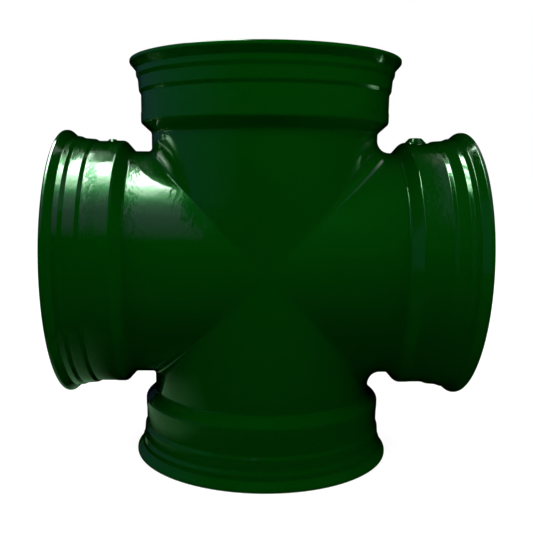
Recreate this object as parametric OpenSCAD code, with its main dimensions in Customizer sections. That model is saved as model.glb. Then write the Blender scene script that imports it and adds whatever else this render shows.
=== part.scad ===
// Equal pipe cross for drain pipe: one moulding with four push-fit sockets in
// one plane, and a rubber ring in each socket. All sizes are in millimetres.
// The axes of the run (Z) and of the arms (X) cross at the origin.

/* [Pipe and socket] */
// Outside diameter of the pipe that each socket takes
pipe_d = 110; // [100:0.5:120]
// Gap between the pipe and the bore of a socket, on the radius
pipe_gap = 0.3; // [0.2:0.05:0.5]
// Wall of a socket round its bore
socket_wall = 3.95; // [3.2:0.05:5]
// Depth of a socket, from its mouth to the stop for the pipe
socket_depth = 27.2; // [25:0.1:60]
// Height of the stop that the pipe's end meets
stop_step = 4; // [3:0.1:6]

/* [Crossing] */
// Wall of the plain tubes
tube_wall = 3.2; // [2.4:0.1:4]
// Radius of the blends in the two crotches on the right
right_crotch_r = 6.5; // [3:0.1:8]
// Radius of the blends in the two crotches on the left, which are tighter
left_crotch_r = 2; // [1:0.1:6]
// Plain tube left between a right crotch blend and a shoulder
neck_len = 2; // [1.5:0.1:30]
// Length of the slope from the plain tube up to a socket
shoulder_len = 4.4; // [3:0.1:6]
// How far the top of the outer shoulder lies behind the stop
shoulder_lag = 1.4; // [0.2:0.05:2]

/* [Flared mouth] */
// Outside diameter of the lip
lip_d = 128.6; // [126:0.1:136]
// Length of the lip
lip_len = 1.6; // [1.2:0.1:3]
// Length of the slope behind the lip
lip_slope_len = 3.1; // [2:0.1:5]
// Length of the step next to the lip
outer_step_len = 2.5; // [1.5:0.1:5]
// Length of the slope behind the outer step
outer_slope_len = 1.7; // [1:0.1:3]
// Length of the step next to the plain socket
inner_step_len = 5.2; // [3:0.1:8]
// Length of the slope behind the inner step
inner_slope_len = 1.6; // [1:0.1:3]
// Rise of the inner step over the plain socket
inner_step_rise = 0.9; // [0.5:0.05:1.2]
// Rise of the outer step over the end of the inner one
outer_step_rise = 0.8; // [0.5:0.05:1.2]
// Rise along each step towards the mouth, as a slope
step_draft = 0.08; // [0:0.01:0.12]
// Thickness of the flat edge of the mouth
mouth_edge = 4; // [3:0.1:5]
// Length of the bevel that leads the pipe in
bevel_len = 2.2; // [1.5:0.1:3]

/* [Band over the stop] */
// Length of the low band between the shoulder and the plain socket
band_len = 4.2; // [3:0.1:8]
// Rise of the band over the plain socket
band_rise = 0.2; // [0.1:0.05:0.8]
// Length of the slope down from the band to the plain socket
band_slope_len = 1.2; // [0.6:0.1:3]

/* [Ring groove and seal] */
// Distance from the mouth to the groove
groove_start = 3; // [2.5:0.1:4]
// Length of the groove along the socket
groove_len = 7.4; // [6.5:0.1:9]
// Depth of the groove into the wall
groove_depth = 2.9; // [2.4:0.1:3.2]
// How far the land in front of the groove stands back from the bore
land_back = 1.3; // [0.6:0.1:1.8]
// Clearance round the seal in its groove
seal_gap = 0.1; // [0.05:0.05:0.3]
// Gap between the pipe and the pressed lip of the seal
lip_gap = 0.12; // [0.1:0.01:0.3]
// Gap between the pipe and the heel of the seal
heel_gap = 0.75; // [0.4:0.05:1.2]
// Length of the heel of the seal
heel_len = 2.6; // [2:0.1:3.2]
// Thickness of the base of the seal
seal_base = 1.1; // [0.8:0.1:1.5]
// Width of the tip of the seal's lip
tip_w = 0.8; // [0.5:0.1:1.2]

/* [Gate stubs] */
// Diameter of the stub on top of the right socket
right_stub_d = 10.6; // [6:0.1:11]
// Height of the stub on top of the right socket
right_stub_h = 2.4; // [1:0.1:3]
// Diameter of the stub on top of the left socket
left_stub_d = 5; // [3:0.1:8]
// Height of the stub on top of the left socket
left_stub_h = 0.9; // [0.5:0.1:2]

/* [Hidden] */

body_green = [0.0, 0.25, 0.06];
rubber_black = [0.08, 0.08, 0.08];

// Radii, from the pipe outwards
pipe_r = pipe_d / 2;
bore_r = pipe_r + pipe_gap;
socket_r = bore_r + socket_wall;
tube_bore_r = bore_r - stop_step;
tube_r = tube_bore_r + tube_wall;
groove_r = bore_r + groove_depth;
land_r = bore_r + land_back;
lip_r = lip_d / 2;
mouth_r = lip_r - mouth_edge;

// Places along an axis, as distances from the centre of the cross
shoulder_foot = tube_r + right_crotch_r + neck_len;
shoulder_top = shoulder_foot + shoulder_len;
stop_at = shoulder_top + shoulder_lag;
mouth_at = stop_at + socket_depth;
lip_back = mouth_at - lip_len;
outer_step_end = lip_back - lip_slope_len;
outer_step_start = outer_step_end - outer_step_len;
inner_step_end = outer_step_start - outer_slope_len;
inner_step_start = inner_step_end - inner_step_len;
flare_start = inner_step_start - inner_slope_len;
band_end = shoulder_top + band_len;
// The gate stubs stand half way between the shoulder and the flare
stub_at = (shoulder_top + flare_start) / 2;
groove_out = mouth_at - groove_start;
groove_in = groove_out - groove_len;

// Radii of the two steps, at the end nearer the centre and at the end nearer the mouth
inner_low_r = socket_r + inner_step_rise;
inner_high_r = inner_low_r + step_draft * inner_step_len;
outer_low_r = inner_high_r + outer_step_rise;
outer_high_r = outer_low_r + step_draft * outer_step_len;

// Roundings of the moulded edges
shoulder_round = 2;
edge_round = 0.7;
lip_round = 1;
bevel_round = 0.6;
seal_round = 0.35;
stub_round = 1.6;
// How deep a gate stub reaches into the wall under it
stub_root = 2;

// Degrees of turn for each straight piece of a rounded edge, and facets of the revolved shapes
arc_step = 12;
$fn = 120;

// The blend's edges lie this far under the tubes' surfaces, so that the surfaces cross cleanly
blend_sink = 0.04;
// The blend's inner edge lies this far under the tubes' surfaces
blend_root = 1.5;
blend_rings = 44;

function unit(v) = v / norm(v);

// Points of the arc that rounds corner q, between its neighbours p and s
function corner_arc(p, q, s, radius) =
    let (
        u = unit(p - q),
        v = unit(s - q),
        half = acos(u * v) / 2,
        room = 0.45 * min(norm(p - q), norm(s - q)) * tan(half),
        r = min(radius, room),
        centre = q + unit(u + v) * r / sin(half),
        from = q + u * r / tan(half) - centre,
        to = q + v * r / tan(half) - centre,
        first = atan2(from[1], from[0]),
        turn = (atan2(to[1], to[0]) - first + 540) % 360 - 180,
        pieces = max(1, ceil(abs(turn) / arc_step))
    )
    [for (k = [0 : pieces]) centre + r * [cos(first + turn * k / pieces), sin(first + turn * k / pieces)]];

// A line of points with its inner corners rounded; each entry is [x, y, rounding]
function rounded(line) = [
    for (k = [0 : len(line) - 1])
        let (q = [line[k][0], line[k][1]])
        each (k == 0 || k == len(line) - 1 || line[k][2] == 0)
            ? [q]
            : corner_arc([line[k - 1][0], line[k - 1][1]], q, [line[k + 1][0], line[k + 1][1]], line[k][2])
];

// A half profile and its mirror image across the centre, as one outline
function both_ends(half) = concat(
    half,
    [for (k = [len(half) - 1 : -1 : 0]) [half[k][0], -half[k][1]]]
);

// Outside of one end, as [radius, distance from the centre, rounding]
outer_half = [
    [0, mouth_at, 0],
    [lip_r, mouth_at, lip_round],
    [lip_r, lip_back, edge_round],
    [outer_high_r, outer_step_end, edge_round],
    [outer_low_r, outer_step_start, edge_round],
    [inner_high_r, inner_step_end, edge_round],
    [inner_low_r, inner_step_start, edge_round],
    [socket_r, flare_start, edge_round],
    [socket_r, band_end + band_slope_len, edge_round],
    [socket_r + band_rise, band_end, edge_round],
    [socket_r + band_rise, shoulder_top, shoulder_round],
    [tube_r, shoulder_foot, shoulder_round],
    [tube_r, 0, 0]
];

// Inside of one end, from past the mouth to the centre
inner_half = [
    [0, mouth_at + 1, 0],
    [mouth_r + bevel_round, mouth_at + 1, 0],
    [mouth_r + bevel_round, mouth_at, 0],
    [mouth_r, mouth_at, bevel_round],
    [land_r, mouth_at - bevel_len, edge_round],
    [land_r, groove_out, 0],
    [groove_r, groove_out, 0],
    [groove_r, groove_in, 0],
    [bore_r, groove_in, 0],
    [bore_r, stop_at, 0],
    [tube_bore_r, stop_at, 0],
    [tube_bore_r, 0, 0]
];

// Tube with a socket at both ends, seen from outside, along Z
module tube_outside() {
    rotate_extrude() polygon(both_ends(rounded(outer_half)));
}

// The hollow of the same tube
module tube_hollow() {
    rotate_extrude() polygon(both_ends(rounded(inner_half)));
}

// Ball of radius r that rolls in the crotch between two equal tubes: its centre at angle t round
// the tubes, and the directions from the centre to the points where it touches the two tubes
function ball_centre(t, r) = (tube_r - blend_sink + r) * [cos(t), sin(t), cos(t)];
function to_run(t) = [-cos(t), -sin(t), 0];
function to_arm(t) = [0, -sin(t), -cos(t)];

// One ring of the blend: the arc between the two touching points, then the root inside the wall
function blend_ring(t, r, facets) = let (
        between = acos(to_run(t) * to_arm(t))
    ) concat(
        [for (k = [0 : facets])
            let (w = k / facets)
            ball_centre(t, r) + r * (sin((1 - w) * between) * to_run(t) + sin(w * between) * to_arm(t))
                / sin(between)],
        [(tube_r - blend_root) * [cos(t), sin(t), cos(t)]]
    );

// Blend of radius r in the crotch between the upper end of the run and the right arm. It ends
// where it has sunk under the front and back of the crossing
module crotch_blend(r, facets) {
    points_in_ring = facets + 2;
    blend_end = 90 - 105 * sqrt(blend_sink / r);
    points = [for (j = [0 : blend_rings]) each blend_ring(blend_end * (2 * j / blend_rings - 1), r, facets)];
    last = blend_rings * points_in_ring;
    sides = [for (j = [0 : blend_rings - 1], k = [0 : points_in_ring - 1])
        let (
            a = j * points_in_ring + k,
            b = j * points_in_ring + (k + 1) % points_in_ring
        )
        each [[a, b + points_in_ring, b], [a, a + points_in_ring, b + points_in_ring]]];
    root = points_in_ring - 1;
    near_cap = [for (k = [0 : facets - 1]) [root, k, k + 1]];
    far_cap = [for (k = [0 : facets - 1]) [last + root, last + k + 1, last + k]];
    polyhedron(points, concat(sides, near_cap, far_cap));
}

// Low stub where the plastic was fed in, on top of an arm
module gate_stub(d, h) {
    slope = min(h, d / 4);
    translate([0, 0, socket_r])
        rotate_extrude()
            polygon(rounded([
                [0, -stub_root, 0],
                [d / 2, -stub_root, 0],
                [d / 2, 0, 0],
                [d / 2 - slope, h, stub_round],
                [0, h, 0]
            ]));
}

// The moulding
module cross_body() {
    color(body_green)
        difference() {
            union() {
                tube_outside();
                rotate([0, 90, 0]) tube_outside();
                for (turn = [0, 90]) rotate([0, turn, 0]) crotch_blend(right_crotch_r, 7);
                for (turn = [180, 270]) rotate([0, turn, 0]) crotch_blend(left_crotch_r, 5);
                translate([stub_at, 0, 0]) gate_stub(right_stub_d, right_stub_h);
                translate([-stub_at, 0, 0]) gate_stub(left_stub_d, left_stub_h);
            }
            tube_hollow();
            rotate([0, 90, 0]) tube_hollow();
        }
}

// Section of a seal, as [radius, distance from the centre, rounding]
seal_back_r = groove_r - seal_gap;
seal_root_r = seal_back_r - seal_base;
heel_r = pipe_r + heel_gap;
tip_r = pipe_r + lip_gap;
seal_out = groove_out - seal_gap;
seal_in = groove_in + seal_gap;
tip_in = seal_in + seal_round;
seal_section = [
    [seal_back_r, seal_in, 0],
    [seal_back_r, seal_out, 0],
    [heel_r + seal_round, seal_out, seal_round],
    [heel_r, seal_out - seal_round, seal_round],
    [heel_r, seal_out - heel_len, seal_round],
    [seal_root_r, seal_out - heel_len - seal_round, seal_round],
    [tip_r, tip_in + tip_w, seal_round],
    [tip_r, tip_in, seal_round],
    [seal_root_r, tip_in + 2 * tip_w, seal_round],
    [seal_root_r, seal_in, 0]
];

// Ring in the upper end's groove: its heel faces the mouth and its lip leans towards the stop
module seal() {
    color(rubber_black)
        rotate_extrude() polygon(rounded(seal_section));
}

module seal_top() {
    seal();
}

module seal_bottom() {
    mirror([0, 0, 1]) seal();
}

module seal_left() {
    rotate([0, -90, 0]) seal();
}

module seal_right() {
    rotate([0, 90, 0]) seal();
}

cross_body();
seal_top();
seal_bottom();
seal_left();
seal_right();
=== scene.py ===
# %% [markdown]
# # A pipe cross in glossy green plastic
#
# A pipe cross joins four drain pipes at right angles. It is moulded in one piece: two equal tubes that
# run through each other, and a wide socket on each of the four ends. A pipe is pushed into a socket as
# far as an inner stop, and a black rubber ring near the mouth keeps the joint tight.
#
# The exact shapes come from the part's CAD model, which is loaded here as a fixed frame. Blender adds
# what CAD lacks: smooth shading that a mirror-like surface needs, the plastic and the rubber, the
# studio and the camera.

# %% Load the frame and measure it
import math

import bmesh
import bpy
import numpy as np
from mathutils import Matrix, Vector


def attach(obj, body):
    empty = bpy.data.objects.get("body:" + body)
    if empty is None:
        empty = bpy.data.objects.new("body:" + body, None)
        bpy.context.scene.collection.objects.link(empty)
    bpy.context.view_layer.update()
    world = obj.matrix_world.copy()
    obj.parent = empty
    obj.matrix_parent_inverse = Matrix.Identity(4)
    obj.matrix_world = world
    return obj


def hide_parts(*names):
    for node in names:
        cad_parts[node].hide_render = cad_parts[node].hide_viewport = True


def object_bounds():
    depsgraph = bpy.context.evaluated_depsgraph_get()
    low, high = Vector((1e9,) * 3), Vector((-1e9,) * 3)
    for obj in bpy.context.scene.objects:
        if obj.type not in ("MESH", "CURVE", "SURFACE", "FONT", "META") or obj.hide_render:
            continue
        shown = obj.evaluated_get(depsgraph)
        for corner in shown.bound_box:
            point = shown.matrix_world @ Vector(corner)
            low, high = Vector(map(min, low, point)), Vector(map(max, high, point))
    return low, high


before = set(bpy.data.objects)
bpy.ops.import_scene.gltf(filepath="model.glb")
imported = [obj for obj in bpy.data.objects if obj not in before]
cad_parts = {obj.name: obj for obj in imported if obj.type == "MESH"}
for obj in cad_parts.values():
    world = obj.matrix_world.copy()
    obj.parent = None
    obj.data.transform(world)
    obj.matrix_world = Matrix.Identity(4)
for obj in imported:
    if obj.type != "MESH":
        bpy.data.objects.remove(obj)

MM = 0.001
cad_low, cad_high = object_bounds()
print("The cross measures", [round(size / MM, 1) for size in cad_high - cad_low], "mm")

# %% [markdown]
# ## The camera
#
# The camera stands close to the cross, a little above its middle, so the near wall of the upper mouth
# hides the inside and the side sockets show a little of their flanks. Its place was found by fitting
# the outline of the model to the outline of the real cross. The cross isn't in the middle of the
# picture, so the lens is shifted a little instead of turning the camera, which would bend the upright
# lines.

# %% Set up the camera
PICTURE_PX = 533
SENSOR_MM = 36.0
FOCAL_PX = 739.6
# Where the lens points, in the picture and on the cross
MIDDLE_PX = Vector((247.4, 326.5))
AIM = Vector((-7.52, 0, -32.74)) * MM
DISTANCE = 379.8 * MM
PITCH = 0.2009
YAW = -0.0081
ROLL = 0.0076


def camera_axes(pitch, yaw, roll):
    """The camera's right, up and back as the columns of a matrix."""
    back = Vector((math.sin(yaw) * math.cos(pitch), -math.cos(yaw) * math.cos(pitch), math.sin(pitch)))
    level = Vector((math.cos(yaw), math.sin(yaw), 0))
    upright = back.cross(level)
    right = level * math.cos(roll) + upright * math.sin(roll)
    up = upright * math.cos(roll) - level * math.sin(roll)
    return Matrix((right, up, back)).transposed()


lens = bpy.data.cameras.new("camera")
lens.sensor_width = SENSOR_MM
lens.lens = FOCAL_PX * SENSOR_MM / PICTURE_PX
lens.shift_x = (PICTURE_PX / 2 - MIDDLE_PX.x) / PICTURE_PX
lens.shift_y = (MIDDLE_PX.y - PICTURE_PX / 2) / PICTURE_PX
lens.clip_start = 0.01
lens.clip_end = 100
camera = bpy.data.objects.new("camera", lens)
bpy.context.scene.collection.objects.link(camera)
axes = camera_axes(PITCH, YAW, ROLL)
camera.matrix_world = Matrix.Translation(AIM + axes.col[2] * DISTANCE) @ axes.to_4x4()
bpy.context.scene.camera = camera
print("The lens is", round(lens.lens, 1), "mm long")
print("Its shift is", round(lens.shift_x, 3), "and", round(lens.shift_y, 3))

# %% [markdown]
# ## The skin of the moulding
#
# Dark glossy plastic shows its shape only by what it mirrors, so a small fault in a surface normal is
# a broken line in a highlight. The CAD node comes as loose triangles. A copy of it is welded into one
# closed skin, and its real corners are marked sharp.
#
# Averaged normals are nearly right, but they wander where long thin triangles meet. Almost every wall
# of the cross was turned about the axis of the run or of the arms, and on such a wall the normal has
# no part that points round the axis. So that part is taken out, and on the plain walls the normal is
# set straight out from the axis. In the four crotches a ball was rolled along both tubes at once, so
# there the normal points at the middle of the ball.

# %% Weld a copy of a CAD node and smooth it
WELD = 0.001 * MM
SHARP = math.radians(28)


def welded_copy(node, name):
    """A copy of a CAD node as one closed skin, with its corners marked sharp."""
    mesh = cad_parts[node].data.copy()
    mesh.name = name
    stale = mesh.attributes.get("custom_normal")
    if stale:
        mesh.attributes.remove(stale)
    skin = bmesh.new()
    skin.from_mesh(mesh)
    bmesh.ops.remove_doubles(skin, verts=skin.verts, dist=WELD)
    for face in skin.faces:
        face.smooth = True
    for edge in skin.edges:
        edge.smooth = edge.calc_face_angle(0) < SHARP
    skin.to_mesh(mesh)
    skin.free()
    piece = bpy.data.objects.new(name, mesh)
    bpy.context.scene.collection.objects.link(piece)
    return piece


def weigh_normals(piece):
    """Lets large faces decide the normals, so that roundings stay narrow and walls stay straight."""
    weigh = piece.modifiers.new("weighted normals", "WEIGHTED_NORMAL")
    weigh.keep_sharp = True
    seen = piece.evaluated_get(bpy.context.evaluated_depsgraph_get())
    piece.data = bpy.data.meshes.new_from_object(seen)
    piece.data.name = piece.name
    piece.modifiers.clear()


# %% Find the rolling ball in the crotches
TUBE_RADIUS = 54.5 * MM
LEFT_BALL = 2 * MM
RIGHT_BALL = 6.5 * MM
BALL_SINK = 0.04 * MM
BALL_STEPS = 8


def rolling_balls(place):
    """The middle and the radius of the rolling ball that is nearest to each place."""
    side = np.where(place < 0, -1.0, 1.0)
    side[:, 1] = 1
    ball = np.where(place[:, 0] < 0, LEFT_BALL, RIGHT_BALL)
    track = (TUBE_RADIUS - BALL_SINK + ball)[:, None]
    first = place * side
    turn = np.arctan2(first[:, 1], (first[:, 0] + first[:, 2]) / 2)
    for _ in range(BALL_STEPS):
        wave, swing = np.cos(turn), np.sin(turn)
        centre = track * np.stack([wave, swing, wave], 1)
        speed = track * np.stack([-swing, wave, -swing], 1)
        gap = centre - first
        slope = (speed * speed).sum(1) - (gap * centre).sum(1)
        turn -= (gap * speed).sum(1) / slope
    return centre * side, ball


# %% Turn the normals straight
# The tube and its bore, the plain socket and the band on it, the lip, the socket's bore, the groove in
# it and the land in front of the groove
TURNED_RADII = np.array([54.5, 51.3, 59.25, 59.45, 64.3, 55.3, 58.2, 56.6]) * MM
SOCKET_FOOT = 62.0 * MM
NEAR_CYLINDER = 0.01 * MM
NEAR_BALL = 0.06 * MM
NEAR_STRAIGHT = math.cos(math.radians(20))
SMALL_LEAN = 0.08


def corner_places(mesh):
    """For each corner of the mesh: its place, the middle of its face, and its normal."""
    corners = len(mesh.loops)
    vertex = np.empty(corners, np.int32)
    mesh.loops.foreach_get("vertex_index", vertex)
    places = np.empty(len(mesh.vertices) * 3, np.float32)
    mesh.vertices.foreach_get("co", places)
    place = places.reshape(-1, 3)[vertex].astype(float)
    centres = np.empty(len(mesh.polygons) * 3, np.float32)
    mesh.polygons.foreach_get("center", centres)
    sizes = np.empty(len(mesh.polygons), np.int32)
    mesh.polygons.foreach_get("loop_total", sizes)
    centre = np.repeat(centres.reshape(-1, 3), sizes, axis=0)
    normal = np.empty(corners * 3, np.float32)
    mesh.corner_normals.foreach_get("vector", normal)
    return place, centre, normal.reshape(-1, 3).astype(float)


def straighten_normals(mesh):
    """Takes out of each normal the part that points round the axis that its wall was turned about."""
    place, centre, normal = corner_places(mesh)
    on_run = np.abs(centre[:, 2]) > np.abs(centre[:, 0])
    axis = np.where(on_run[:, None], [0.0, 0.0, 1.0], [1.0, 0.0, 0.0])
    along = np.abs((place * axis).sum(1))
    outward = place * (1 - axis)
    radius = np.linalg.norm(outward, axis=1)
    outward /= radius[:, None]
    around = np.cross(axis, outward)

    round_part = (normal * around).sum(1)
    out_part = (normal * outward).sum(1)
    on_cylinder = (np.abs(radius[:, None] - TURNED_RADII) < NEAR_CYLINDER).any(1)
    straight = on_cylinder & (np.abs(out_part) > NEAR_STRAIGHT)
    turned = ~straight & (along > SOCKET_FOOT) & (np.abs(round_part) < SMALL_LEAN)
    middle, ball = rolling_balls(place)
    to_ball = middle - place
    reach = np.linalg.norm(to_ball, axis=1)
    to_ball /= reach[:, None]
    blended = ~straight & ~turned & (np.abs(reach - ball) < NEAR_BALL)
    blended &= (normal * to_ball).sum(1) > NEAR_STRAIGHT
    normal[turned] -= (round_part[:, None] * around)[turned]
    normal[straight] = (np.sign(out_part)[:, None] * outward)[straight]
    normal[blended] = to_ball[blended]
    normal /= np.linalg.norm(normal, axis=1)[:, None]
    mesh.normals_split_custom_set(normal.tolist())
    return {"straight": int(straight.sum()), "turned": int(turned.sum()), "blended": int(blended.sum())}


body = welded_copy("cross_body", "body")
weigh_normals(body)
print("The body has", len(body.data.polygons), "faces; corners set:", straighten_normals(body.data))

# %% [markdown]
# ## The glossy plastic
#
# The plastic is dyed through, a green so deep that it looks almost black in the shade. Its colour is
# not quite even, because the melt swirls as it fills the mould, so two greens are mixed by a large soft
# noise. The skin is a copy of the polished steel mould, with a very shallow orange peel and
# some longer waves where the wall shrank. Both are a bump, because they are a few thousandths of a
# millimetre deep. The clear top of the gloss is a coat, and the softer green sheen below it is the
# specular layer of the Principled shader.

# %% Helpers for materials
def new_material(name):
    """An empty material, with its node tree and its Object coordinates."""
    material = bpy.data.materials.new(name)
    material.use_nodes = True
    tree = material.node_tree
    tree.nodes.clear()
    coordinates = tree.nodes.new("ShaderNodeTexCoord")
    return material, tree, coordinates.outputs["Object"]


def noise(tree, where, scale, detail, roughness=0.5):
    """A noise texture at a scale given in waves per metre."""
    node = tree.nodes.new("ShaderNodeTexNoise")
    node.inputs["Scale"].default_value = scale
    node.inputs["Detail"].default_value = detail
    node.inputs["Roughness"].default_value = roughness
    tree.links.new(where, node.inputs["Vector"])
    return node.outputs["Fac"]


def spread(tree, value, low, high, to_low, to_high):
    """Maps a value from one range to another and clamps it."""
    node = tree.nodes.new("ShaderNodeMapRange")
    for socket, number in zip(("From Min", "From Max", "To Min", "To Max"), (low, high, to_low, to_high)):
        node.inputs[socket].default_value = number
    tree.links.new(value, node.inputs["Value"])
    return node.outputs["Result"]


def blend_colours(tree, share, first, second):
    """Mixes two colours by a share from 0 to 1."""
    node = tree.nodes.new("ShaderNodeMix")
    node.data_type = "RGBA"
    node.inputs["A"].default_value = (*first, 1)
    node.inputs["B"].default_value = (*second, 1)
    tree.links.new(share, node.inputs["Factor"])
    return next(output for output in node.outputs if output.type == "RGBA")


def bump(tree, height, depth, below=None):
    """A bump whose full height is depth, in metres, on top of another bump if one is given."""
    node = tree.nodes.new("ShaderNodeBump")
    node.inputs["Distance"].default_value = depth
    tree.links.new(height, node.inputs["Height"])
    if below:
        tree.links.new(below, node.inputs["Normal"])
    return node.outputs["Normal"]


# %% Mix the green plastic
DEEP_GREEN = (0.0003, 0.041, 0.0006)
PALER_GREEN = (0.0006, 0.047, 0.0014)
GREEN_SHEEN = (0.04, 1.0, 0.18, 1)
PEEL_DEPTH = 0.03 * MM
WAVE_DEPTH = 0.15 * MM


def green_plastic():
    """Glossy bottle-green moulded plastic."""
    material, tree, where = new_material("green plastic")
    swirl = spread(tree, noise(tree, where, scale=14, detail=3), 0.35, 0.65, 0, 1)
    waves = noise(tree, where, scale=45, detail=2)
    peel = noise(tree, where, scale=420, detail=2)
    shader = tree.nodes.new("ShaderNodeBsdfPrincipled")
    shader.inputs["IOR"].default_value = 1.52
    shader.inputs["Specular Tint"].default_value = GREEN_SHEEN
    shader.inputs["Coat Weight"].default_value = 1.0
    shader.inputs["Coat IOR"].default_value = 1.5
    shader.inputs["Coat Roughness"].default_value = 0.05
    colour = blend_colours(tree, swirl, DEEP_GREEN, PALER_GREEN)
    tree.links.new(colour, shader.inputs["Base Color"])
    tree.links.new(spread(tree, waves, 0.35, 0.65, 0.12, 0.17), shader.inputs["Roughness"])
    skin = bump(tree, peel, PEEL_DEPTH, bump(tree, waves, WAVE_DEPTH))
    tree.links.new(skin, shader.inputs["Normal"])
    tree.links.new(skin, shader.inputs["Coat Normal"])
    output = tree.nodes.new("ShaderNodeOutputMaterial")
    tree.links.new(shader.outputs["BSDF"], output.inputs["Surface"])
    return material


plastic = green_plastic()
body.data.materials.clear()
body.data.materials.append(plastic)
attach(body, "root")
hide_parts("cross_body")
print("The body wears", plastic.name)

# %% [markdown]
# ## The rubber rings
#
# A ring of black rubber sits in the groove behind each mouth. Its lip leans inwards, so the pressure in
# the pipe pushes it tighter. Rubber is the opposite of the plastic: matt, with a soft broad sheen, and
# with a fine grain and a little pale dust in it. The four rings are one shape in four places, and each
# is a welded copy of its own CAD node.

# %% Mix the rubber
RUBBER_BLACK = (0.012, 0.012, 0.012)
RUBBER_BLOOM = (0.026, 0.026, 0.025)
GRAIN_DEPTH = 0.02 * MM


def black_rubber():
    """Matt black rubber with a fine grain."""
    material, tree, where = new_material("black rubber")
    bloom = spread(tree, noise(tree, where, scale=60, detail=4, roughness=0.6), 0.45, 0.75, 0, 1)
    grain = noise(tree, where, scale=2600, detail=3)
    shader = tree.nodes.new("ShaderNodeBsdfPrincipled")
    shader.inputs["IOR"].default_value = 1.5
    shader.inputs["Specular IOR Level"].default_value = 0.4
    colour = blend_colours(tree, bloom, RUBBER_BLACK, RUBBER_BLOOM)
    tree.links.new(colour, shader.inputs["Base Color"])
    tree.links.new(spread(tree, grain, 0.3, 0.7, 0.55, 0.78), shader.inputs["Roughness"])
    tree.links.new(bump(tree, grain, GRAIN_DEPTH), shader.inputs["Normal"])
    output = tree.nodes.new("ShaderNodeOutputMaterial")
    tree.links.new(shader.outputs["BSDF"], output.inputs["Surface"])
    return material


# %% Place the four rings
rubber = black_rubber()
for end in ("top", "bottom", "left", "right"):
    ring = welded_copy(f"seal_{end}", f"ring_{end}")
    weigh_normals(ring)
    straighten_normals(ring.data)
    ring.data.materials.clear()
    ring.data.materials.append(rubber)
    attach(ring, "root")
    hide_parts(f"seal_{end}")
    print("Ring", end, "has", len(ring.data.polygons), "faces")

# %% [markdown]
# ## The studio
#
# The cross stands on a white floor in front of a white ground. The floor glows just enough to reach
# white for the camera and for mirrored rays. Near the cross it glows a little less, and the lamps add
# the last part there, so the shadow of the cross still darkens it a little. For the light that it
# throws back onto the cross it is plain grey paper.

# %% White floor and white ground
FLOOR_HEIGHT = cad_low.z - 0.05 * MM
FLOOR_SIZE = 20
PAPER = (0.45, 0.45, 0.45, 1)
PALE = (0.3, 0.3, 0.3, 1)
NEAR_GLOW = 0.86
GLOW_FROM = 0.15
GLOW_TO = 0.6


def rays_that_see_white(tree):
    """1 for camera, mirrored and passed-through rays, and 0 for the rest."""
    path = tree.nodes.new("ShaderNodeLightPath")
    total = path.outputs["Is Camera Ray"]
    for name in ("Is Glossy Ray", "Is Transmission Ray"):
        add = tree.nodes.new("ShaderNodeMath")
        add.operation = "ADD"
        add.use_clamp = True
        tree.links.new(total, add.inputs[0])
        tree.links.new(path.outputs[name], add.inputs[1])
        total = add.outputs["Value"]
    return total


def floor_material():
    """Pale paper that reaches white where nothing shades it."""
    material, tree, where = new_material("white floor")
    paper = tree.nodes.new("ShaderNodeBsdfDiffuse")
    paper.inputs["Color"].default_value = PAPER
    pale = tree.nodes.new("ShaderNodeBsdfDiffuse")
    pale.inputs["Color"].default_value = PALE
    glow = tree.nodes.new("ShaderNodeEmission")
    away = tree.nodes.new("ShaderNodeVectorMath")
    away.operation = "LENGTH"
    tree.links.new(where, away.inputs[0])
    strength = spread(tree, away.outputs["Value"], GLOW_FROM, GLOW_TO, NEAR_GLOW, 1)
    tree.links.new(strength, glow.inputs["Strength"])
    both = tree.nodes.new("ShaderNodeAddShader")
    tree.links.new(pale.outputs["BSDF"], both.inputs[0])
    tree.links.new(glow.outputs["Emission"], both.inputs[1])
    choose = tree.nodes.new("ShaderNodeMixShader")
    tree.links.new(rays_that_see_white(tree), choose.inputs["Fac"])
    tree.links.new(paper.outputs["BSDF"], choose.inputs[1])
    tree.links.new(both.outputs["Shader"], choose.inputs[2])
    output = tree.nodes.new("ShaderNodeOutputMaterial")
    tree.links.new(choose.outputs["Shader"], output.inputs["Surface"])
    return material


sheet = bmesh.new()
bmesh.ops.create_grid(sheet, x_segments=1, y_segments=1, size=FLOOR_SIZE)
bmesh.ops.translate(sheet, verts=sheet.verts, vec=(0, 0, FLOOR_HEIGHT))
floor_mesh = bpy.data.meshes.new("floor")
sheet.to_mesh(floor_mesh)
sheet.free()
floor_mesh.materials.append(floor_material())
floor = bpy.data.objects.new("floor", floor_mesh)
bpy.context.scene.collection.objects.link(floor)
print("The floor lies at", round(FLOOR_HEIGHT / MM, 2), "mm")

# %% White world with a plain soft light
AMBIENT = 0.15
world = bpy.data.worlds.new("studio")
bpy.context.scene.world = world
world.use_nodes = True
tree = world.node_tree
tree.nodes.clear()
ground = tree.nodes.new("ShaderNodeBackground")
room = tree.nodes.new("ShaderNodeBackground")
room.inputs["Strength"].default_value = AMBIENT
ground.inputs["Color"].default_value = room.inputs["Color"].default_value = (1, 1, 1, 1)
choose = tree.nodes.new("ShaderNodeMixShader")
output = tree.nodes.new("ShaderNodeOutputWorld")
tree.links.new(rays_that_see_white(tree), choose.inputs["Fac"])
tree.links.new(room.outputs["Background"], choose.inputs[1])
tree.links.new(ground.outputs["Background"], choose.inputs[2])
tree.links.new(choose.outputs["Shader"], output.inputs["Surface"])
world.cycles.sampling_method = "NONE"
print("The room's light has strength", AMBIENT)
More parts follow.
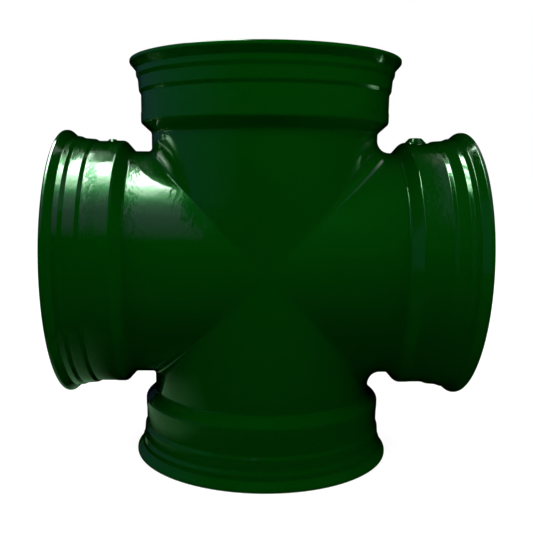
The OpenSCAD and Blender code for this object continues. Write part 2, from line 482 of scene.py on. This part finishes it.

# %% [markdown]
# ## The light
#
# Two wide soft lamps stand at the sides, a little in front of the cross, and light the flanks of its
# run. A small lamp hangs close in front and above, so the upper socket is lighter than the crossing and
# the lower socket is darker. A large lamp behind lights the back. No lamp is mirrored: what the plastic
# mirrors is painted reflection, on glowing and black sheets that only mirrored rays see.

# %% Hang the lamps
def lamp(name, place, width, length, brightness):
    """A flat lamp that shines at the cross; brightness is the radiance of its face."""
    light = bpy.data.lights.new(name, "AREA")
    light.shape = "RECTANGLE"
    light.size = width
    light.size_y = length
    light.energy = brightness * math.pi * width * length
    hung = bpy.data.objects.new(name, light)
    bpy.context.scene.collection.objects.link(hung)
    hung.location = place
    hung.rotation_euler = (-Vector(place)).to_track_quat("-Z", "Y").to_euler()
    hung.visible_camera = False
    hung.visible_glossy = False
    print("The", name, "gives", round(light.energy, 1), "W")


lamp("left lamp", place=(-0.62, -0.22, 0.42), width=0.5, length=0.5, brightness=3.4)
lamp("right lamp", place=(0.62, -0.22, 0.42), width=0.5, length=0.5, brightness=3.5)
lamp("front lamp", place=(0, -0.205, 0.215), width=0.14, length=0.1, brightness=7)
lamp("back lamp", place=(-0.3, 0.9, 0.9), width=0.8, length=0.8, brightness=3)

# %% [markdown]
# ## Painted reflections
#
# Plastic this dark shows its form by what it mirrors. A white studio all round would wash out the green
# and leave no highlight to read the roundings by. So what it mirrors is painted here: black sheets round
# the cross give painted dark reflections, and one glowing sheet high over the left shoulder gives the
# painted highlights. It could be done with real lamps, but a lamp lights a surface and is mirrored at
# once, while these sheets are seen by mirrored rays only. Lamps and painted highlights can then be set
# apart, and neither the camera nor the shadow on the floor notices the sheets.

# %% Hang sheets of painted reflection that only mirrored rays see
def hang_mirrored_sheet(name, shape, material):
    """Makes the shape a stage piece that only mirrored rays see."""
    mesh = bpy.data.meshes.new(name)
    shape.to_mesh(mesh)
    shape.free()
    mesh.materials.append(material)
    mirrored_sheet = bpy.data.objects.new(name, mesh)
    bpy.context.scene.collection.objects.link(mirrored_sheet)
    mirrored_sheet.visible_camera = False
    mirrored_sheet.visible_diffuse = False
    mirrored_sheet.visible_transmission = False
    mirrored_sheet.visible_volume_scatter = False
    mirrored_sheet.visible_shadow = False
    print("Hung the", name)


def flat_piece(left, right, front, back, height):
    """A level rectangle between four edges."""
    shape = bmesh.new()
    bmesh.ops.create_grid(shape, x_segments=1, y_segments=1, size=0.5)
    bmesh.ops.scale(shape, verts=shape.verts, vec=(right - left, back - front, 1))
    middle = ((left + right) / 2, (front + back) / 2, height)
    bmesh.ops.translate(shape, verts=shape.verts, vec=middle)
    return shape


# %% Helpers for patterns of light
def glowing(name, glow_colour):
    """A material that glows with a colour, which a function gives for the places on a sheet of painted
    reflection.
    """
    material, tree, where = new_material(name)
    glow = tree.nodes.new("ShaderNodeEmission")
    output = tree.nodes.new("ShaderNodeOutputMaterial")
    tree.links.new(glow.outputs["Emission"], output.inputs["Surface"])
    split = tree.nodes.new("ShaderNodeSeparateXYZ")
    tree.links.new(where, split.inputs["Vector"])
    tree.links.new(glow_colour(tree, where, split), glow.inputs["Color"])
    return material


def times(tree, colour, factor):
    """A colour times a number or another value."""
    node = tree.nodes.new("ShaderNodeVectorMath")
    node.operation = "SCALE"
    tree.links.new(colour, node.inputs[0])
    if isinstance(factor, (int, float)):
        node.inputs["Scale"].default_value = factor
    else:
        tree.links.new(factor, node.inputs["Scale"])
    return node.outputs["Vector"]


def plus(tree, first, second):
    """Two colours added together."""
    node = tree.nodes.new("ShaderNodeVectorMath")
    tree.links.new(first, node.inputs[0])
    tree.links.new(second, node.inputs[1])
    return node.outputs["Vector"]


def together(tree, operation, first, second):
    """Two values put together by a Math node; the second may be a number."""
    node = tree.nodes.new("ShaderNodeMath")
    node.operation = operation
    tree.links.new(first, node.inputs[0])
    if isinstance(second, (int, float)):
        node.inputs[1].default_value = second
    else:
        tree.links.new(second, node.inputs[1])
    return node.outputs["Value"]


def between(tree, value, low, high, soft):
    """1 between two values and 0 outside them, with edges that are soft over twice the given width."""
    above = spread(tree, value, low - soft, low + soft, 0, 1)
    below = spread(tree, value, high - soft, high + soft, 1, 0)
    return together(tree, "MULTIPLY", above, below)


def look_up(tree, value, table):
    """Looks a value up in a table of rows that each hold a place and a red, green and blue."""
    node = tree.nodes.new("ShaderNodeValToRGB")
    low, high = table[0][0], table[-1][0]
    peak = max(max(row[1:]) for row in table)
    stops = node.color_ramp.elements
    for number, (place, *glow) in enumerate(table):
        at_end = number in (0, len(table) - 1)
        stop = stops[-1 if number else 0] if at_end else stops.new((place - low) / (high - low))
        stop.color = (*[part / peak for part in glow], 1)
    tree.links.new(spread(tree, value, low, high, 0, 1), node.inputs["Fac"])
    return times(tree, node.outputs["Color"], peak)


def aside(tree, where, start):
    """How far to the side a place lies, as the sine of an angle, seen from a place on the arms."""
    shifted = tree.nodes.new("ShaderNodeVectorMath")
    shifted.inputs[1].default_value = (-start, 0, 0)
    tree.links.new(where, shifted.inputs[0])
    direction = tree.nodes.new("ShaderNodeVectorMath")
    direction.operation = "NORMALIZE"
    tree.links.new(shifted.outputs["Vector"], direction.inputs[0])
    split = tree.nodes.new("ShaderNodeSeparateXYZ")
    tree.links.new(direction.outputs["Vector"], split.inputs["Vector"])
    return split.outputs["X"]


# %% [markdown]
# ## Painted dark reflections
#
# A black sphere round everything and a second black sheet over the floor are painted dark reflections.
# A black card in front of the crossing is painted shade that keeps the painted highlight off the lower
# socket. Pure black would look like a hole in the picture, so the far left of the sphere has a very dim
# blue-green glow, a painted sheen.

# %% Hang the painted dark reflections: the sphere, the floor sheet and the card
DARK_SPHERE_RADIUS = 4.0
# A dim painted sheen on the far left of the black sphere
LEFT_PAINTED_SHEEN = (0.03, 0.05, 0.10)
LEFT_PAINTED_SHEEN_FROM = 0.35
FLOOR_DARK_REFLECTION_HEIGHT = FLOOR_HEIGHT + 0.5 * MM
PAINTED_SHADE_CARD_HEIGHT = -0.02


def painted_dark_reflection_colour(tree, where, split):
    """Painted dark reflection: nearly black, with a dim painted sheen from the left."""
    share = spread(tree, split.outputs["X"], -LEFT_PAINTED_SHEEN_FROM * DARK_SPHERE_RADIUS, -DARK_SPHERE_RADIUS, 0, 1)
    return blend_colours(tree, share, (0, 0, 0), LEFT_PAINTED_SHEEN)


dark = glowing("painted dark reflection", painted_dark_reflection_colour)
dark_reflection_sphere = bmesh.new()
bmesh.ops.create_uvsphere(dark_reflection_sphere, u_segments=48, v_segments=24, radius=DARK_SPHERE_RADIUS)
hang_mirrored_sheet("dark_reflection_sphere", dark_reflection_sphere, dark)
floor_dark_reflection = flat_piece(-DARK_SPHERE_RADIUS, DARK_SPHERE_RADIUS, -DARK_SPHERE_RADIUS, DARK_SPHERE_RADIUS, FLOOR_DARK_REFLECTION_HEIGHT)
hang_mirrored_sheet("floor dark reflection", floor_dark_reflection, dark)
# The card paints shade into what the lower socket mirrors
painted_shade_card = flat_piece(left=-0.10, right=0.12, front=-0.142, back=-0.045, height=PAINTED_SHADE_CARD_HEIGHT)
hang_mirrored_sheet("painted_shade_card", painted_shade_card, dark)

# %% [markdown]
# ## The painted highlights
#
# A glowing sheet hangs level, high over the left shoulder, and only mirrored rays see it, so it is a
# painted highlight. It draws the white fan on the left arm, the stripes on the steps of the left socket
# and the thin ones on the right. It has four strips, with a gap between the third and the fourth. Seen
# from the left arm, a strip fills the directions between two angles, so its edges run across the arm
# and the socket as they would from real window bars. A round wall stretches the mirrored sheet, so the
# side of a strip towards the camera lies lowest on the arm. There the strips fade from white through
# pale green to a dim violet, and a stretched noise breaks the fade into painted flecks.

# %% Hang the sheet of painted highlights
PAINTED_SHEET_HEIGHT = 1.2
ARM_PLACE = 0.065
HIGHLIGHT_STRIP_EDGE = 0.003
BACK_SOFTNESS = 0.05
FLECK_SHAPE = (110, 5, 0)
FLECK_DEPTH = 0.13
# Each strip of painted highlight: the sines of its far and near angle, how far back it reaches, how much
# further back than in the first strip it fades, and how much its far edge leans for each metre towards
# the back
HIGHLIGHT_STRIPS = (
    (-0.290, -0.211, 0.90, 0.00, 0.000),
    (-0.211, -0.194, 0.38, 0.65, 0.000),
    (-0.194, -0.161, 0.38, 0.12, 0.000),
    (-0.142, 0.000, 0.67, 0.04, 0.045),
)
# The fade of the painted highlight from front to back, from black through violet, grey and pale green to
# white: a place in metres, then the glow as red, green and blue
PAINTED_HIGHLIGHT_FADE = (
    (-2.40, 0.00, 0.00, 0.00),
    (-1.00, 0.35, 0.10, 0.50),
    (-0.60, 0.65, 0.70, 0.85),
    (-0.40, 1.5, 3.0, 2.0),
    (-0.25, 6, 7, 6),
    (-0.10, 18, 18, 18),
    (1.00, 20, 20, 20),
)


def painted_highlight_colour(tree, where, split):
    """All strips of painted highlight together, each with its own edges and its own fade."""
    side = aside(tree, where, -ARM_PLACE)
    depth = split.outputs["Y"]
    # Stretched noise breaks the painted highlight into painted flecks
    stretch = tree.nodes.new("ShaderNodeMapping")
    stretch.inputs["Scale"].default_value = FLECK_SHAPE
    tree.links.new(where, stretch.inputs["Vector"])
    fleck_noise = noise(tree, stretch.outputs["Vector"], scale=1, detail=3)
    painted_flecks = spread(tree, fleck_noise, 0.3, 0.7, -FLECK_DEPTH, FLECK_DEPTH)
    broken_depth = together(tree, "ADD", depth, painted_flecks)
    behind = spread(tree, depth, 0, 1, 0, 1)
    total = None
    for far, near, back, shift, lean in HIGHLIGHT_STRIPS:
        leaning = together(tree, "SUBTRACT", side, together(tree, "MULTIPLY", behind, lean))
        across = between(tree, leaning, far, near, HIGHLIGHT_STRIP_EDGE)
        up_to_back = spread(tree, depth, back - BACK_SOFTNESS, back + BACK_SOFTNESS, 1, 0)
        fade = look_up(tree, together(tree, "SUBTRACT", broken_depth, shift), PAINTED_HIGHLIGHT_FADE)
        highlight_strip = times(tree, fade, together(tree, "MULTIPLY", across, up_to_back))
        total = plus(tree, total, highlight_strip) if total else highlight_strip
    return total


# A glowing sheet that only mirrored rays see paints the highlights on the arms and sockets
painted_highlight_sheet = flat_piece(left=-0.9, right=-0.15, front=-2.4, back=1.0, height=PAINTED_SHEET_HEIGHT)
hang_mirrored_sheet("painted_highlight_sheet", painted_highlight_sheet, glowing("painted highlight glow", painted_highlight_colour))

# %% [markdown]
# ## Two painted sheens
#
# A dim glowing sheet on the right, which only mirrored rays see, paints a sheen on the flare of the right
# socket alone and parts it from the black of the dark sphere. A faint green glowing patch at floor height
# on the left paints a sheen on the lower edge of the left socket in the same way.

# %% Hang the two sheets of painted sheen
# Painted sheen on the right flare: its soft side edge and its fade from front to back
RIGHT_SHEEN_EDGE = (0.245, 0.265)
RIGHT_SHEEN_FADE = (
    (-1.6, 0.00, 0.00, 0.00),
    (-0.8, 0.12, 0.08, 0.20),
    (0.3, 0.18, 0.12, 0.27),
    (0.6, 0.50, 0.50, 0.50),
    (1.0, 0.50, 0.50, 0.50),
)
# Painted sheen on the lower edge of the left socket: a green glowing patch just above the floor
LEFT_SHEEN_HEIGHT = FLOOR_HEIGHT + 1 * MM
LEFT_SHEEN_GREEN = (0.09, 0.20, 0.10)


def right_sheen_colour(tree, where, split):
    """A dim painted sheen that only the mouth of the right socket mirrors."""
    seen = spread(tree, aside(tree, where, ARM_PLACE), *RIGHT_SHEEN_EDGE, 0, 1)
    return times(tree, look_up(tree, split.outputs["Y"], RIGHT_SHEEN_FADE), seen)


def left_sheen_colour(tree, where, split):
    """A faint green painted sheen with soft edges."""
    from_left = spread(tree, split.outputs["X"], -0.22, -0.15, 0, 1)
    to_right = spread(tree, split.outputs["X"], -0.10, -0.082, 1, 0)
    from_front = spread(tree, split.outputs["Y"], -0.11, -0.04, 0, 1)
    share = together(tree, "MULTIPLY", together(tree, "MULTIPLY", from_left, to_right), from_front)
    return blend_colours(tree, share, (0, 0, 0), LEFT_SHEEN_GREEN)


right_sheen_sheet = flat_piece(left=0.33, right=0.8, front=-1.6, back=1.0, height=PAINTED_SHEET_HEIGHT)
hang_mirrored_sheet("right painted sheen", right_sheen_sheet, glowing("right sheen glow", right_sheen_colour))
left_sheen_sheet = flat_piece(left=-0.22, right=-0.08, front=-0.11, back=0.06, height=LEFT_SHEEN_HEIGHT)
hang_mirrored_sheet("left painted sheen", left_sheen_sheet, glowing("left sheen glow", left_sheen_colour))

# %% [markdown]
# ## Finish
#
# The picture uses Blender's plain view transform, so a colour comes out as it is written.

# %% Set the plain view transform
bpy.context.scene.view_settings.view_transform = "Standard"
